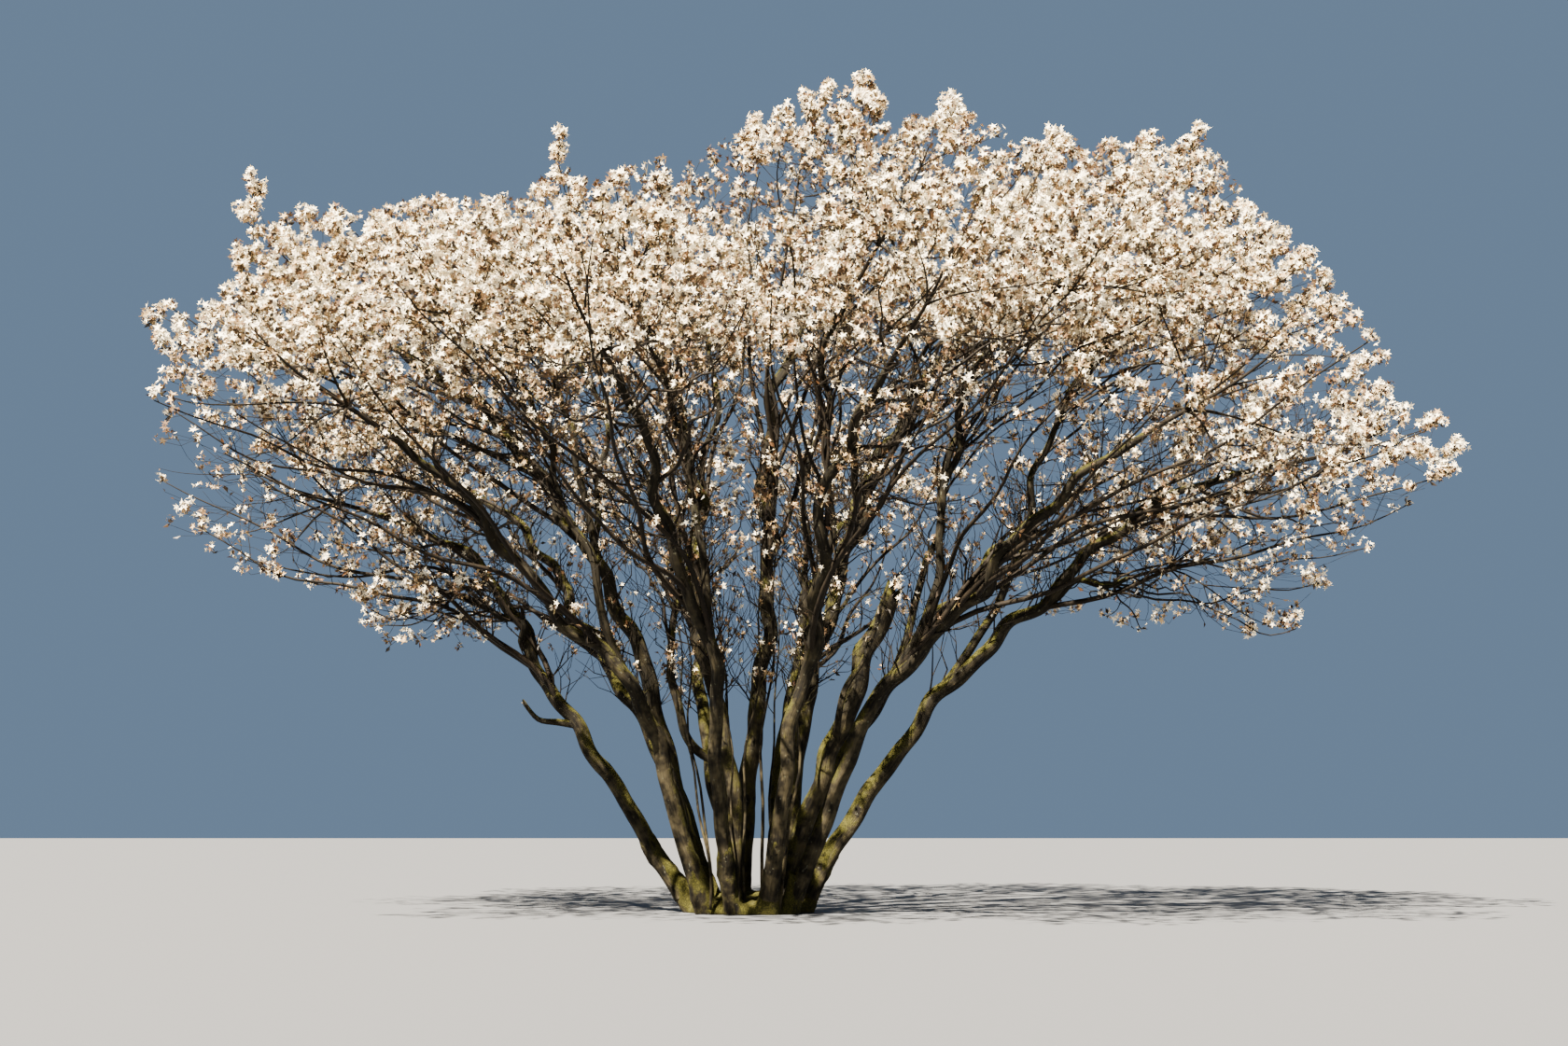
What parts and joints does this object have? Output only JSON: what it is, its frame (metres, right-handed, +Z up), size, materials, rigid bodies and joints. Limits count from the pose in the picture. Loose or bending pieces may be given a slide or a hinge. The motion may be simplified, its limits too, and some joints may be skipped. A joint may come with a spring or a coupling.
{
  "type": "serviceberry tree",
  "caption": "Many-stemmed serviceberry in full blossom: slender stems fan out from one root crown under a wide dome of cream-white flowers and young bronze leaves.",
  "frame": {"origin": "middle of the flat cut under the root crown, at ground level", "axes": "+Z up, +X to the right of the picture along the crown's widest side, +Y away from its camera"},
  "size_m": [8.6244, 7.5484, 5.5906],
  "materials": {
    "bark": "rough grey-brown bark",
    "mossy_bark": "rough bark under olive-green moss",
    "blossom": "soft cream-white petals among young bronze leaves"
  },
  "bodies": {
    "root": {"root_crown": "mossy_bark", "stem_east": "bark", "stem_southeast": "bark", "stem_south_east": "bark", "stem_south_west": "bark", "stem_southwest": "bark", "stem_west": "bark", "stem_west_low": "bark", "stem_northwest": "bark", "stem_north_west": "bark", "stem_north_east": "bark", "stem_northeast": "bark", "stem_top_east": "bark", "stem_top": "bark", "stem_top_west": "bark", "bough_east_low": "bark", "bough_east_high": "bark", "bough_southeast_high": "bark", "bough_south_east_high": "bark", "bough_south_west_high": "bark", "bough_southwest_high": "bark", "bough_west_high": "bark", "bough_west_skirt": "bark", "bough_northwest_high": "bark", "bough_north_west_high": "bark", "bough_north_east_high": "bark", "bough_northeast_high": "bark", "bough_inner_east": "bark", "bough_inner_west": "bark", "dead_stem": "bark", "dead_branch": "bark", "blossom_east": "blossom", "blossom_southeast": "blossom", "blossom_south_east": "blossom", "blossom_south_west": "blossom", "blossom_southwest": "blossom", "blossom_west": "blossom", "blossom_west_low": "blossom", "blossom_northwest": "blossom", "blossom_north_west": "blossom", "blossom_north_east": "blossom", "blossom_northeast": "blossom", "blossom_top_east": "blossom", "blossom_top": "blossom", "blossom_top_west": "blossom", "blossom_east_low": "blossom", "blossom_east_high": "blossom", "blossom_southeast_high": "blossom", "blossom_south_east_high": "blossom", "blossom_south_west_high": "blossom", "blossom_southwest_high": "blossom", "blossom_west_high": "blossom", "blossom_west_skirt": "blossom", "blossom_northwest_high": "blossom", "blossom_north_west_high": "blossom", "blossom_north_east_high": "blossom", "blossom_northeast_high": "blossom", "blossom_inner_east": "blossom", "blossom_inner_west": "blossom"}
  },
  "joints": []
}
